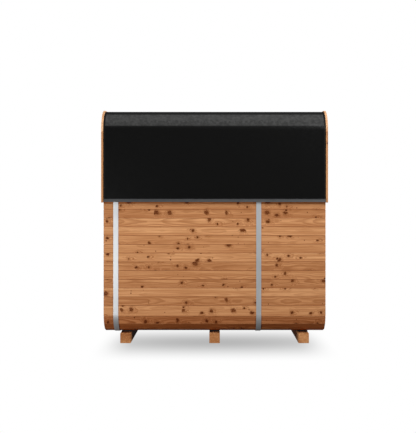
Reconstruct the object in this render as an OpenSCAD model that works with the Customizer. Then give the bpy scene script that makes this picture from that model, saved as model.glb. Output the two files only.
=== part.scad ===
// Square sauna: a shell of staves with four round corners, held by two steel bands,
// with a wall let in at each end, a roof skin over its upper part and three bearers.
// X runs along the shell, with the porch at +X; Y runs across it; Z is up from the ground.

/* [Shell] */
// Length of the staves, from the rear rim to the front rim
shell_length = 2220; // [1800:10:4000]
// Outside width of the shell
shell_width = 2200; // [1900:10:2800]
// Outside height of the shell
shell_height = 2212; // [2150:2:2800]
// Outside radius of the four long corners
corner_radius = 190; // [150:5:300]
// Thickness of the staves
stave_thickness = 42; // [34:1:60]
// Face width that the staves of a flat side are cut close to
stave_width = 88; // [60:1:140]
// Flat part of the stave that leads into a corner
lead_flat = 86; // [40:1:100]
// Part of a corner's quarter turn that its lead-in staves take at each end, in degrees
lead_turn = 7; // [5:1:15]
// Narrow staves in one corner, between its two lead-in staves
corner_staves = 3; // [2:1:5]
// Depth of the V joint between two boards
joint_depth = 2.5; // [1:0.5:5]

/* [End walls] */
// Thickness of an end wall
wall_thickness = 42; // [30:1:60]
// Face width that the boards of an end wall are cut close to
wall_board_width = 92; // [60:1:160]
// How far the rear wall stands in from the rear rim
rear_recess = 102; // [60:2:300]
// How far the front wall stands in from the front rim
porch_depth = 648; // [300:2:1000]
// Depth of the groove in the staves that holds a wall
wall_groove = 12; // [6:1:20]

/* [Door] */
// Width of the door leaf
leaf_width = 652; // [550:1:900]
// Height of the wall over the door, from the door's head to the ceiling
overwall_height = 192; // [60:1:400]
// Thickness of the door leaf
leaf_thickness = 38; // [30:1:50]
// Boards in the door leaf
leaf_boards = 7; // [4:1:10]
// Running gap round the door leaf
leaf_gap = 4; // [2:0.5:8]
// Face width of a jamb and of the head
frame_face = 50; // [40:1:80]
// Depth of the door frame, through the wall
frame_depth = 72; // [64:1:110]
// Width of the stop that the leaf closes on
stop_width = 12; // [8:1:20]
// Height of the wall under the sill, above the floor
underwall_height = 50; // [30:1:100]
// Thickness of the sill
sill_thickness = 40; // [30:1:60]
// Width of a ledge across the back of the leaf
ledge_width = 95; // [60:1:140]
// Thickness of a ledge
ledge_thickness = 22; // [16:1:30]
// How far a ledge, and its hinge, lies in from the end of the leaf
ledge_inset = 220; // [120:5:350]

/* [Door fittings] */
// Length of a hinge strap on the leaf
strap_length = 330; // [200:5:450]
// Height of a hinge strap at the knuckle
strap_height = 42; // [30:1:60]
// Thickness of the hinge metal
hinge_metal = 4; // [3:0.5:6]
// Outside radius of a hinge knuckle
knuckle_radius = 8; // [6:0.5:12]
// Height of the plate on the jamb
jamb_plate_height = 120; // [80:1:180]
// Length of a door pull
pull_length = 340; // [200:5:500]
// Width and depth of a door pull's bar
pull_bar = 30; // [22:1:40]
// How far a pull's bar stands off the leaf
pull_clearance = 42; // [30:1:60]
// Height of the pulls above the bottom of the leaf
pull_height = 880; // [600:10:1100]

/* [Bands] */
// Width of a steel band
band_width = 50; // [30:1:80]
// Thickness of a steel band
band_thickness = 5; // [2:0.5:8]
// Gap between the two lugs that pull a band tight
lug_gap = 60; // [30:1:120]
// How far a lug stands down from the band
lug_height = 38; // [30:1:50]
// Radius of the hole for a band's bolt
bolt_hole_radius = 6.5; // [4:0.5:8]

/* [Roof] */
// How far the roof reaches down the sides, from the top of the shell
roof_drop = 901; // [500:1:1200]
// Thickness of the boards under the roof skin
deck_thickness = 15; // [12:0.5:25]
// Thickness of the roof skin
skin_thickness = 4; // [2:0.5:8]
// Height of the upright face of the drip edge
drip_face = 13; // [10:1:40]
// How far the lip of the drip edge reaches down
drip_lip_height = 18; // [10:1:30]
// How far the lip of the drip edge kicks out
drip_lip_out = 8; // [4:0.5:9]
// Thickness of the drip edge metal
drip_metal = 2; // [1:0.5:3]

/* [Fascia] */
// Thickness of the fascia boards on the two rims
fascia_thickness = 20; // [16:1:35]
// How far the fascia stands up past the roof skin
fascia_lip = 10; // [5:1:25]
// How far the fascia's side boards hang below the drip edge
fascia_drop = 5; // [0:1:40]
// Straight tail at each end of a round fascia piece
fascia_tail = 10; // [0:1:60]

/* [Bearers] */
// Width of a bearer
bearer_width = 106; // [80:1:160]
// Height of a bearer
bearer_height = 100; // [70:1:150]
// How far a bearer's end stands in from the side of the shell
bearer_inset = 63; // [0:1:150]
// Clear gap between the rear band and the bearer beside it
bearer_gap = 11; // [2:1:100]
// Thickness of the black packing strip on a bearer
pad_thickness = 12; // [6:1:30]
// How far a packing strip's side stands in from its bearer's
pad_inset = 0.5; // [0:0.5:20]
// How far a packing strip reaches past the flat part of the floor
pad_reach = 20; // [0:1:30]
// Broken edge on the bearers
arris = 1.5; // [1:0.5:8]

/* [Hidden] */
$fn = 96;

FIT = 0.3; // gap between two pieces that lie on each other
NEAR = -1; // the side at -Y
FAR = 1; // the side at +Y
REAR = -1; // the end at -X
FRONT = 1; // the end at +X

shell_bottom = bearer_height + pad_thickness;
shell_centre = shell_bottom + shell_height / 2;
shell_top = shell_bottom + shell_height;
floor_level = shell_bottom + stave_thickness;
ceiling_level = shell_top - stave_thickness;
half_width = shell_width / 2;
half_height = shell_height / 2;
half_length = shell_length / 2;

rear_wall_x = -half_length + rear_recess + wall_thickness / 2;
front_wall_x = half_length - porch_depth - wall_thickness / 2;
rear_bearer_x = rear_wall_x + band_width / 2 + bearer_gap + bearer_width / 2;

// Distances outward from the face of the staves
deck_inside = FIT;
deck_outside = deck_inside + deck_thickness;
skin_inside = deck_outside + FIT;
skin_outside = skin_inside + skin_thickness;
drip_inside = skin_outside + FIT;
drip_outside = drip_inside + drip_metal;
band_outside = FIT + band_thickness;

roof_edge = shell_top - roof_drop;
drip_top = roof_edge + drip_lip_height + drip_face;
drip_bend = roof_edge + drip_lip_height;

underwall_top = floor_level + underwall_height;
sill_top = underwall_top + sill_thickness;
leaf_bottom = sill_top + leaf_gap;
head_top = ceiling_level - overwall_height;
head_bottom = head_top - frame_face;
leaf_top = head_bottom - leaf_gap;
leaf_height = leaf_top - leaf_bottom;
clear_width = leaf_width + 2 * leaf_gap;
doorway_width = clear_width + 2 * frame_face;
frame_front = front_wall_x + frame_depth / 2;
leaf_front = frame_front;
leaf_back = leaf_front - leaf_thickness;

// ---- shared shapes ----

// Lays a profile drawn across the shell (Y, Z) along X, from x0 to x1
module along_x(x0, x1) {
    translate([x0, 0, 0]) rotate([90, 0, 90]) linear_extrude(x1 - x0) children();
}

// Lays a profile drawn in X and Z along Y, from y0 to y1
module along_y(y0, y1) {
    translate([0, y1, 0]) rotate([90, 0, 0]) linear_extrude(y1 - y0) children();
}

// The V between two boards, as a small square on its corner
module vee() {
    rotate(45) square(joint_depth * sqrt(2), center = true);
}

// The outline of the shell, moved outward by a distance
module shell_outline(outward) {
    w = shell_width + 2 * outward;
    h = shell_height + 2 * outward;
    r = corner_radius + outward;
    translate([0, shell_centre]) {
        square([w - 2 * r, h], center = true);
        square([w, h - 2 * r], center = true);
        for (y = [-1, 1], z = [-1, 1]) translate([y * (w / 2 - r), z * (h / 2 - r)]) circle(r);
    }
}

// The strip between two distances from the face of the staves
module shell_strip(inside, outside) {
    difference() {
        shell_outline(outside);
        shell_outline(inside);
    }
}

// Mirrors the near side's shapes to the far side
module on_side(side) {
    scale_y = side == NEAR ? 0 : 1;
    mirror([0, scale_y, 0]) children();
}

// ---- shell ----

lead_end_y = half_width - corner_radius - lead_flat;
lead_end_z = half_height - corner_radius - lead_flat;

// A row of flat boards, as a panel with V joints on both faces and half a V at each end
module board_panel(span, thickness, board_width) {
    boards = max(1, round(span / board_width));
    difference() {
        square([thickness, span], center = true);
        for (i = [0:boards], face = [-1, 1])
            translate([face * thickness / 2, -span / 2 + i * span / boards]) vee();
    }
}

// The grooves round the inside of the shell that hold the two end walls
module wall_grooves() {
    for (x = [rear_wall_x, front_wall_x])
        along_x(x - wall_thickness / 2 - FIT, x + wall_thickness / 2 + FIT)
            shell_outline(wall_groove - stave_thickness);
}

module flat_staves(side, span, turn) {
    difference() {
        along_x(-half_length, half_length)
            translate([0, shell_centre]) rotate(turn)
                translate([side, 0]) board_panel(span, stave_thickness, stave_width);
        wall_grooves();
    }
}

module side_staves(side) {
    color("peru") flat_staves(side * (half_width - stave_thickness / 2), 2 * lead_end_z, 0);
}

module floor_staves() {
    color("peru") flat_staves(stave_thickness / 2 - half_height, 2 * lead_end_y, 90);
}

module ceiling_staves() {
    color("peru") flat_staves(half_height - stave_thickness / 2, 2 * lead_end_y, 90);
}

turn_per_stave = (90 - 2 * lead_turn) / corner_staves;

// A circle cut flat across each narrow stave of the corner at +Y, +Z
module flatted_circle(radius) {
    difference() {
        circle(radius);
        for (i = [0:corner_staves - 1])
            rotate(lead_turn + (i + 0.5) * turn_per_stave)
                translate([radius * cos(turn_per_stave / 2), -radius]) square([radius, 2 * radius]);
    }
}

// A quarter turn of flat-faced staves with its two flat leads, drawn for the corner at +Y, +Z
module corner_profile() {
    inner_radius = corner_radius - stave_thickness;
    difference() {
        union() {
            intersection() {
                difference() {
                    flatted_circle(corner_radius);
                    flatted_circle(inner_radius);
                }
                square(corner_radius);
            }
            translate([-lead_flat, inner_radius]) square([lead_flat, stave_thickness]);
            translate([inner_radius, -lead_flat]) square([stave_thickness, lead_flat]);
        }
        for (i = [0:corner_staves], r = [inner_radius, corner_radius])
            rotate(lead_turn + i * turn_per_stave) translate([r, 0]) vee();
        for (r = [inner_radius, corner_radius]) {
            translate([-lead_flat, r]) vee();
            translate([r, -lead_flat]) vee();
        }
    }
}

module corner_staves_at(side, level) {
    color("sandybrown") difference() {
        along_x(-half_length, half_length)
            translate([0, shell_centre]) mirror([side == NEAR ? 1 : 0, 0]) mirror([0, level < 0 ? 1 : 0])
                translate([half_width - corner_radius, half_height - corner_radius]) corner_profile();
        wall_grooves();
    }
}

// ---- end walls ----

wall_reach = wall_groove - FIT - stave_thickness;
wall_span = shell_height + 2 * wall_reach;

// A whole end wall: boards laid flat on each other, trimmed to the groove's outline
module end_wall(x) {
    intersection() {
        along_x(x - wall_thickness / 2, x + wall_thickness / 2) shell_outline(wall_reach);
        along_y(-half_width, half_width)
            translate([x, shell_centre]) board_panel(wall_span, wall_thickness, wall_board_width);
    }
}

module rear_wall() {
    color("burlywood") end_wall(rear_wall_x);
}

// The part of the front wall inside a box from (y0, z0) to (y1, z1)
module front_wall_part(y0, y1, z0, z1) {
    color("burlywood") intersection() {
        end_wall(front_wall_x);
        translate([front_wall_x - wall_thickness, y0, z0]) cube([2 * wall_thickness, y1 - y0, z1 - z0]);
    }
}

module front_wall_beside(side) {
    on_side(side) front_wall_part(-half_width, -doorway_width / 2, 0, shell_top);
}

// ---- door ----

// A jamb with the stop behind the leaf, cut as one section
module door_jamb(side) {
    back = frame_front - frame_depth;
    stop_front = leaf_back - FIT;
    color("sandybrown") on_side(side) translate([0, -doorway_width / 2, underwall_top + sill_thickness])
        linear_extrude(head_bottom - sill_top)
            polygon([
                [back, 0], [frame_front, 0], [frame_front, frame_face],
                [stop_front, frame_face], [stop_front, frame_face + stop_width], [back, frame_face + stop_width]
            ]);
}

module door_head() {
    back = frame_front - frame_depth;
    stop_front = leaf_back - FIT;
    color("sandybrown") along_y(-doorway_width / 2, doorway_width / 2)
        polygon([
            [back, head_bottom - stop_width], [stop_front, head_bottom - stop_width],
            [stop_front, head_bottom], [frame_front, head_bottom], [frame_front, head_top], [back, head_top]
        ]);
}

module door_sill() {
    back = frame_front - frame_depth;
    color("sandybrown") along_y(-doorway_width / 2, doorway_width / 2)
        translate([back, underwall_top]) square([frame_depth, sill_thickness]);
}

module door_leaf() {
    color("tan") translate([(leaf_front + leaf_back) / 2, 0, leaf_bottom])
        linear_extrude(leaf_height) board_panel(leaf_width, leaf_thickness, leaf_width / leaf_boards);
}

ledge_levels = [leaf_bottom + ledge_inset, leaf_top - ledge_inset];
ledge_span = clear_width - 2 * stop_width - 2 * leaf_gap;

module door_ledges() {
    color("peru") for (z = ledge_levels)
        translate([leaf_back - ledge_thickness, -ledge_span / 2, z - ledge_width / 2])
            cube([ledge_thickness, ledge_span, ledge_width]);
}

// A strap that narrows to a round end, with a knuckle over the gap and a plate on the jamb
module door_hinge() {
    knuckle_y = leaf_width / 2 + leaf_gap / 2;
    tip = strap_height / 4;
    plate_width = frame_face - leaf_gap;
    rotate([90, 0, 90]) linear_extrude(hinge_metal) {
        polygon([
            [knuckle_y, -strap_height / 2], [knuckle_y, strap_height / 2],
            [knuckle_y - strap_length, tip], [knuckle_y - strap_length, -tip]
        ]);
        translate([knuckle_y - strap_length, 0]) circle(tip);
        translate([knuckle_y, -jamb_plate_height / 2]) square([plate_width, jamb_plate_height]);
    }
    translate([knuckle_radius, knuckle_y, -jamb_plate_height / 2]) cylinder(h = jamb_plate_height, r = knuckle_radius);
}

module door_hinges() {
    color("silver") for (z = ledge_levels) translate([leaf_front, 0, z]) door_hinge();
}

// A bar on two posts, standing out from the face of the leaf
module door_pull() {
    post = pull_bar * 0.8;
    post_inset = pull_bar;
    translate([pull_clearance, -pull_bar / 2, 0]) cube([pull_bar, pull_bar, pull_length]);
    for (z = [post_inset, pull_length - post_inset - post])
        translate([0, -post / 2, z]) cube([pull_clearance, post, post]);
}

pull_inset = 75;

module door_pulls() {
    color("saddlebrown") translate([0, -leaf_width / 2 + pull_inset, leaf_bottom + pull_height - pull_length / 2]) {
        translate([leaf_front, 0, 0]) door_pull();
        translate([leaf_back, 0, 0]) mirror([1, 0, 0]) door_pull();
    }
}

// ---- bands ----

lug_thickness = band_thickness;
bolt_level = shell_bottom - band_outside - lug_height / 2;

module band(x) {
    lug_z = shell_bottom - band_outside - lug_height;
    color("gainsboro") difference() {
        union() {
            along_x(x - band_width / 2, x + band_width / 2) difference() {
                shell_strip(FIT, band_outside);
                translate([-lug_gap / 2, 0]) square([lug_gap, shell_bottom]);
            }
            for (side = [-1, 1])
                translate([x - band_width / 2, side * (lug_gap + lug_thickness) / 2 - lug_thickness / 2, lug_z])
                    cube([band_width, lug_thickness, lug_height + band_thickness]);
        }
        translate([x, 0, bolt_level]) rotate([90, 0, 0])
            cylinder(h = lug_gap + 4 * lug_thickness, r = bolt_hole_radius, center = true);
    }
}

// ---- roof ----

// Room under the deck for the two bands
module band_channels() {
    for (x = [rear_wall_x, front_wall_x])
        along_x(x - band_width / 2 - FIT, x + band_width / 2 + FIT) shell_outline(band_outside + FIT);
}

module deck_part(y0, y1, z0, z1) {
    color("tan") difference() {
        along_x(-half_length, half_length) intersection() {
            shell_strip(deck_inside, deck_outside);
            translate([y0, z0]) square([y1 - y0, z1 - z0]);
        }
        band_channels();
    }
}

corner_y = half_width - corner_radius;
corner_z = shell_top - corner_radius;
above_roof = shell_top + skin_outside + fascia_lip;
beside_roof = half_width + skin_outside + fascia_lip;

module roof_deck_top() {
    deck_part(-corner_y, corner_y, corner_z, above_roof);
}

// The boards of one side, with those that turn round its corner
module roof_deck_side(side) {
    on_side(side) deck_part(-beside_roof, -corner_y, drip_bend + drip_metal + FIT, above_roof);
}

// One sheet over the top and down both sides
module roof_skin() {
    color([0.11, 0.11, 0.11]) along_x(-half_length, half_length) intersection() {
        shell_strip(skin_inside, skin_outside);
        translate([-beside_roof, drip_bend + drip_metal + FIT])
            square([2 * beside_roof, above_roof - drip_bend]);
    }
}

// Folded metal over the lower edge of the roof: a face, a lip that kicks out and a shelf under the deck
module drip_edge(side) {
    near_face = -half_width;
    shelf_inside = band_outside + FIT;
    color("dimgray") on_side(side) along_x(-half_length, half_length)
        translate([near_face, 0]) mirror([1, 0]) polygon([
            [drip_inside, drip_top], [drip_outside, drip_top], [drip_outside, drip_bend],
            [drip_outside + drip_lip_out, roof_edge], [drip_inside + drip_lip_out, roof_edge],
            [drip_inside, drip_bend], [shelf_inside, drip_bend], [shelf_inside, drip_bend + drip_metal],
            [drip_inside, drip_bend + drip_metal]
        ]);
}

// ---- fascia ----

fascia_bottom = roof_edge - fascia_drop;
joint_y = corner_y - fascia_tail;
joint_z = corner_z - fascia_tail;

// The part of one rim's fascia inside a box from (y0, z0) to (y1, z1)
module fascia_part(end, y0, y1, z0, z1) {
    x0 = end == FRONT ? half_length : -half_length - fascia_thickness;
    along_x(x0, x0 + fascia_thickness) intersection() {
        shell_strip(-stave_thickness, skin_outside + fascia_lip);
        translate([y0, z0]) square([y1 - y0, z1 - z0]);
    }
}

module fascia_top(end) {
    color("sandybrown") fascia_part(end, -joint_y, joint_y, corner_z, above_roof);
}

module fascia_side(end, side) {
    color("sandybrown") on_side(side) fascia_part(end, -beside_roof, -corner_y, fascia_bottom, joint_z);
}

module fascia_corner(end, side) {
    color("burlywood") on_side(side) fascia_part(end, -beside_roof, -joint_y, joint_z, above_roof);
}

// ---- bearers ----

module bearer(x) {
    w = bearer_width / 2;
    h = bearer_height;
    length = shell_width - 2 * bearer_inset;
    color("sandybrown") along_y(-length / 2, length / 2) translate([x, 0]) polygon([
        [arris - w, 0], [w - arris, 0], [w, arris], [w, h - arris],
        [w - arris, h], [arris - w, h], [-w, h - arris], [-w, arris]
    ]);
}

// A packing strip under the flat part of the floor and a little past it
module pad(x) {
    width = bearer_width - 2 * pad_inset - 2 * arris;
    length = 2 * (corner_y + pad_reach);
    color([0.04, 0.04, 0.04]) translate([x - width / 2, -length / 2, bearer_height])
        cube([width, length, pad_thickness]);
}

bearer(rear_bearer_x);  // rear_bearer
bearer(0);  // middle_bearer
bearer(-rear_bearer_x);  // front_bearer
pad(rear_bearer_x);  // rear_pad
pad(0);  // middle_pad
pad(-rear_bearer_x);  // front_pad
floor_staves();
ceiling_staves();
side_staves(NEAR);  // near_wall_staves
side_staves(FAR);  // far_wall_staves
corner_staves_at(NEAR, -1);  // near_bottom_corner
corner_staves_at(FAR, -1);  // far_bottom_corner
corner_staves_at(NEAR, 1);  // near_top_corner
corner_staves_at(FAR, 1);  // far_top_corner
rear_wall();
front_wall_beside(NEAR);  // front_wall_near
front_wall_beside(FAR);  // front_wall_far
front_wall_part(-doorway_width / 2, doorway_width / 2, head_top, shell_top);  // front_wall_over_door
front_wall_part(-doorway_width / 2, doorway_width / 2, 0, underwall_top);  // front_wall_under_door
door_jamb(NEAR);  // door_jamb_near
door_jamb(FAR);  // door_jamb_far
door_head();
door_sill();
door_leaf();
door_ledges();
door_hinges();
door_pulls();
band(rear_wall_x);  // rear_band
band(front_wall_x);  // front_band
roof_deck_top();
roof_deck_side(NEAR);  // roof_deck_near
roof_deck_side(FAR);  // roof_deck_far
roof_skin();
drip_edge(NEAR);  // drip_edge_near
drip_edge(FAR);  // drip_edge_far
fascia_top(REAR);  // rear_fascia_top
fascia_side(REAR, NEAR);  // rear_fascia_near
fascia_side(REAR, FAR);  // rear_fascia_far
fascia_corner(REAR, NEAR);  // rear_fascia_near_corner
fascia_corner(REAR, FAR);  // rear_fascia_far_corner
fascia_top(FRONT);  // front_fascia_top
fascia_side(FRONT, NEAR);  // front_fascia_near
fascia_side(FRONT, FAR);  // front_fascia_far
fascia_corner(FRONT, NEAR);  // front_fascia_near_corner
fascia_corner(FRONT, FAR);  // front_fascia_far_corner
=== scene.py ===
"""The looks of a square barrel sauna, laid out as an add-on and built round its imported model.

Every wooden piece is made board by board. Each board carries two attributes for its finish: "grain",
which is the place inside the board (along, across and through it, in metres), and "board", a number of
its own.
"""

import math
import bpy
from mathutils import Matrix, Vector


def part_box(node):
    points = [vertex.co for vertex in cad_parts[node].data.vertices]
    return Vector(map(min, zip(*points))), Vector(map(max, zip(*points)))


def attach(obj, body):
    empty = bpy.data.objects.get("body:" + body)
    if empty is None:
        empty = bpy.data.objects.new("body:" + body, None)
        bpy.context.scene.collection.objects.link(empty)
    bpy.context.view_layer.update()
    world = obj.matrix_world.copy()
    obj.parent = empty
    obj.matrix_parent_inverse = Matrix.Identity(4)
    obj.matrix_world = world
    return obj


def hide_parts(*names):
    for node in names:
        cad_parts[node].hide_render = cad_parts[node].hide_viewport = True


bl_info = {
    "name": "Square Barrel Sauna",
    "version": (1, 0, 0),
    "blender": (4, 5, 0),
    "location": "View3D > Sidebar > Sauna",
    "description": "Builds the boards, steel, roof and fittings of a square barrel sauna",
    "category": "Object",
}

import bmesh
import bpy
from bpy.props import FloatProperty, FloatVectorProperty, IntProperty, PointerProperty
from bpy.types import Operator, Panel, PropertyGroup
from mathutils import Vector

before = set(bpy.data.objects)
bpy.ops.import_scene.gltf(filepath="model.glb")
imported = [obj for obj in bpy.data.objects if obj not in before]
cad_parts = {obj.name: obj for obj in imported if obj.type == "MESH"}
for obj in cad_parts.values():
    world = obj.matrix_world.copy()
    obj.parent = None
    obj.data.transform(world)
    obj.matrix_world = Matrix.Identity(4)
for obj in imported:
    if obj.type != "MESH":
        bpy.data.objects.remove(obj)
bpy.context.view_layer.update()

MM = 0.001
SIDES = {"near": -1, "far": 1}
ENDS = ("rear", "front")
AXES = {"X": 0, "Y": 1, "Z": 2}
GOLDEN_STEP = 0.381966  # spreads numbered pieces evenly over the tones
SOLID_STEP = 0.137  # and the solids of one piece
GLOSSY_WHITE = 0.15  # share of the white background that reflections show
SKY_LEVEL = 0.08  # what the sky adds to the lamps
DEEPER = (1.0, 1.44, 1.80)  # how fast red, green and blue fall as wood gets darker
# Painted shade: the darker, redder colour multiplied into wood that faces down
PAINTED_UNDERSIDE_SHADE = (0.73, 0.38, 0.18, 1.0)  # what wood that faces straight down keeps of its colour
# Painted shadow: the colour multiplied into the staves right under the drip edge
PAINTED_DRIP_SHADOW = (0.95, 0.64, 0.40, 1.0)  # what the staves right under the drip edge keep of it
# Painted shade: the colour multiplied into the bearers where they lie under the shell
PAINTED_UNDERFLOOR_SHADE = (0.25, 0.14, 0.08, 1.0)  # and the bearers in under the floor
# Painted reflection: the grey of the roof skin's bend
PAINTED_REFLECTION_GREY = (0.047, 0.047, 0.046, 1.0)
# Painted shadow: the near-black of the fascia's shadow at the roof skin's ends
PAINTED_FASCIA_SHADOW = (0.0006, 0.0007, 0.0009, 1.0)
TOP_SCREWS, SIDE_SCREWS = 8, 4  # in the top board and in each side board of a fascia
CORNER_SCREWS = (22, 68)  # degrees round a round fascia piece


# ---- places taken from the frame ----


def box(node):
    """The lowest and highest corner of a CAD node."""
    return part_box(node)


def middle(node):
    return sum(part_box(node), Vector()) / 2


wall_low, wall_high = box("near_wall_staves")
far_high = box("far_wall_staves")[1]
floor_low, floor_high = box("floor_staves")
ceiling_low, ceiling_high = box("ceiling_staves")
corner_low, corner_high = box("near_bottom_corner")

STAVE_LENGTH = wall_high.x - wall_low.x
STAVE_THICKNESS = wall_high.y - wall_low.y
SHELL_WIDTH = far_high.y - wall_low.y
SHELL_BOTTOM = floor_low.z
SHELL_TOP = ceiling_high.z
SHELL_MIDDLE = (SHELL_BOTTOM + SHELL_TOP) / 2
CORNER_REACH = corner_high.z - corner_low.z
SIDE_SPAN = wall_high.z - wall_low.z
DRIP_BOTTOM = box("drip_edge_near")[0].z


# ---- properties ----


def length(name, description, default):
    return FloatProperty(
        name=name, description=description, default=default, min=0.0, subtype="DISTANCE", unit="LENGTH")


def colour(name, description, default):
    return FloatVectorProperty(
        name=name, description=description, default=default, size=3, min=0.0, max=1.0, subtype="COLOR")


class SaunaSizes(PropertyGroup):
    """The sizes that the frame doesn't give"""

    stave_width: length("Stave width", "Face width that the staves are cut close to", 88 * MM)
    corner_radius: length("Corner radius", "Outside radius of the shell's corners", 190 * MM)
    lead_turn: FloatProperty(
        name="Lead turn", description="Part of a corner's turn taken by each lead-in stave",
        default=math.radians(7), min=0.0, subtype="ANGLE", unit="ROTATION")
    corner_staves: IntProperty(
        name="Corner staves", description="Narrow staves between the lead-in staves of a corner",
        default=3, min=1)
    wall_board_width: length(
        "Wall board width", "Face width that the end walls' boards are cut close to", 92 * MM)
    door_boards: IntProperty(
        name="Door boards", description="Upright boards in the door leaf", default=7, min=2)
    stave_arris: length("Stave arris", "Rounded edge of a stave, half of the V joint", 4.6 * MM)
    board_arris: length("Board arris", "Rounded edge of a wall or door board", 2.2 * MM)
    timber_arris: length("Timber arris", "Rounded edge of the fascia, the frame and the bearers", 1.6 * MM)
    skin_thickness: length("Skin thickness", "Thickness of the roof's rubber skin", 4 * MM)
    # The dark line at the ends of the roof's skin is painted shadow of the fascia
    painted_shadow_width: length("Skin edge", "Width of the dark line at the ends of the roof's skin", 17 * MM)
    metal_edge: length("Metal edge", "Rounding on the edges of the steel", 0.6 * MM)
    board_gap: length("Board gap", "Gap between two boards that lie side by side", 0.4 * MM)
    screw_head: length("Screw head", "Radius of the heads of the wood screws", 4.5 * MM)
    screw_rise: length("Screw rise", "How far the heads of the wood screws stand out", 1.6 * MM)
    screw_inset: length(
        "Screw inset", "How far the last screw lies in from the end of a fascia board", 60 * MM)
    ledge_screw_rise: length(
        "Ledge screw rise", "How far the leaf's screws lie over and under a hinge", 33 * MM)
    hinge_metal: length("Hinge metal", "Thickness of the hinge straps and plates", 4 * MM)
    hinge_bolt: length("Hinge bolt", "Radius of the heads of the hinge bolts", 6.5 * MM)
    jamb_plate: length("Jamb plate", "Height of a hinge's plate on the jamb", 120 * MM)
    lug_gap: length("Lug gap", "Gap between the two lugs that pull a band tight", 60 * MM)
    lug_height: length("Lug height", "How far a lug stands down from the band", 38 * MM)
    lug_thickness: length("Lug thickness", "Thickness of a lug", 5 * MM)
    seed: IntProperty(name="Seed", description="Changes which board gets which tone and knots", default=15)


class SaunaColours(PropertyGroup):
    """The main colour of each finish"""

    stave: colour("Staves", "Main colour of the staves", (0.545, 0.257, 0.110))
    wall: colour("End walls", "Main colour of the end walls", (0.50, 0.235, 0.104))
    door: colour("Door", "Main colour of the door leaf", (0.42, 0.185, 0.078))
    pull: colour("Door pulls", "Main colour of the door's pulls", (0.2604, 0.1147, 0.04836))
    trim: colour("Fascia", "Main colour of the straight fascia and the door's frame", (0.50, 0.24, 0.10))
    round_trim: colour("Round fascia", "Main colour of the round fascia pieces", (0.60, 0.33, 0.168))
    bearer: colour("Bearers", "Main colour of the bearers", (0.53, 0.242, 0.096))
    roof: colour("Roof skin", "Colour of the roof's rubber skin", (0.0042, 0.0042, 0.0041))
    drip: colour("Drip edge", "Colour of the drip edge", (0.053, 0.0535, 0.055))
    hinge: colour("Hinges", "Colour of the hinges and the door's screws", (0.02, 0.02, 0.021))
    steel: colour("Bands", "Colour of the steel bands", (0.60, 0.61, 0.62))


def sizes():
    return bpy.context.scene.sauna_sizes


def colours():
    return bpy.context.scene.sauna_colours


# ---- nodes ----


class Output:
    """A node's output. What is reckoned from it becomes further nodes in the same tree."""

    def __init__(self, socket):
        self.socket, self.tree = socket, socket.id_data

    def calc(self, operation, *others):
        return calc(operation, self, *others)

    def remap(self, low, high, to_low=0.0, to_high=1.0, smooth=True):
        """The value moved from one range to another, held at its ends."""
        inputs = {"Value": self, "From Min": low, "From Max": high, "To Min": to_low, "To Max": to_high}
        kind = "SMOOTHSTEP" if smooth else "LINEAR"
        return add(self.tree, "ShaderNodeMapRange", inputs, interpolation_type=kind)[0]

    def between(self, low, high):
        """A number from 0 to 1, spread evenly between two others."""
        return self.remap(0.0, 1.0, low, high, smooth=False)

    def parts(self):
        """The three parts of a vector."""
        return add(self.tree, "ShaderNodeSeparateXYZ", {"Vector": self})

    def length(self):
        """The length of a vector."""
        return add(self.tree, "ShaderNodeVectorMath", {0: self}, operation="LENGTH")["Value"]

    def __add__(self, other):
        return calc("ADD", self, other)

    def __sub__(self, other):
        return calc("SUBTRACT", self, other)

    def __rsub__(self, other):
        return calc("SUBTRACT", other, self)

    def __mul__(self, other):
        return calc("MULTIPLY", self, other)

    def __truediv__(self, other):
        return calc("DIVIDE", self, other)


class Outputs:
    """The outputs of a node, by number or by name."""

    def __init__(self, node):
        self.node = node

    def __getitem__(self, key):
        return Output(self.node.outputs[key])


def feed(node, inputs):
    """Gives each input, by name or by number, a value or another node's output."""
    for key, value in inputs.items():
        if isinstance(value, Output):
            value.tree.links.new(value.socket, node.inputs[key])
        else:
            node.inputs[key].default_value = value


def add(tree, kind, inputs=None, **settings):
    """Adds a node with its settings and inputs, and gives its outputs."""
    node = tree.nodes.new(kind)
    for name, value in settings.items():
        setattr(node, name, value)
    feed(node, inputs or {})
    return Outputs(node)


def tree_of(*values):
    """The tree of the first output among some values."""
    return next(value.tree for value in values if isinstance(value, Output))


def calc(operation, *values):
    """The result of a Math node."""
    return add(tree_of(*values), "ShaderNodeMath", dict(enumerate(values)), operation=operation)[0]


def vector_calc(operation, first, second):
    """The result of a Vector Math node."""
    return add(first.tree, "ShaderNodeVectorMath", {0: first, 1: second}, operation=operation)[0]


def combine(x, y, z):
    return add(tree_of(x, y, z), "ShaderNodeCombineXYZ", {"X": x, "Y": y, "Z": z})[0]


def blend(factor, first, second, kind="MIX"):
    """Two colours mixed."""
    return add(tree_of(factor, first, second), "ShaderNodeMix", {0: factor, 6: first, 7: second},
               data_type="RGBA", blend_type=kind, clamp_result=False)[2]


def noise(vector, scale, detail=3.0, roughness=0.5):
    inputs = {"Vector": vector, "Scale": scale, "Detail": detail, "Roughness": roughness}
    return add(vector.tree, "ShaderNodeTexNoise", inputs)["Fac"]


def object_place(tree):
    return add(tree, "ShaderNodeTexCoord")["Object"]


def facing_up(tree):
    """1 where a surface faces up, 0 where it stands upright and -1 where it faces down."""
    return add(tree, "ShaderNodeNewGeometry")["Normal"].parts()[2]


def new_material(name):
    """A material with only its shader, and the tree and the shader of it."""
    material = bpy.data.materials.new(name)
    material.use_nodes = True
    tree = material.node_tree
    return material, tree, tree.nodes["Principled BSDF"]


def bump(shader, height, strength, distance):
    inputs = {"Height": height, "Strength": strength, "Distance": distance}
    feed(shader, {"Normal": add(height.tree, "ShaderNodeBump", inputs)[0]})


# ---- finishes ----


def tint(base, factor=1.0):
    return (base[0] * factor, base[1] * factor, base[2] * factor, 1.0)


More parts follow.
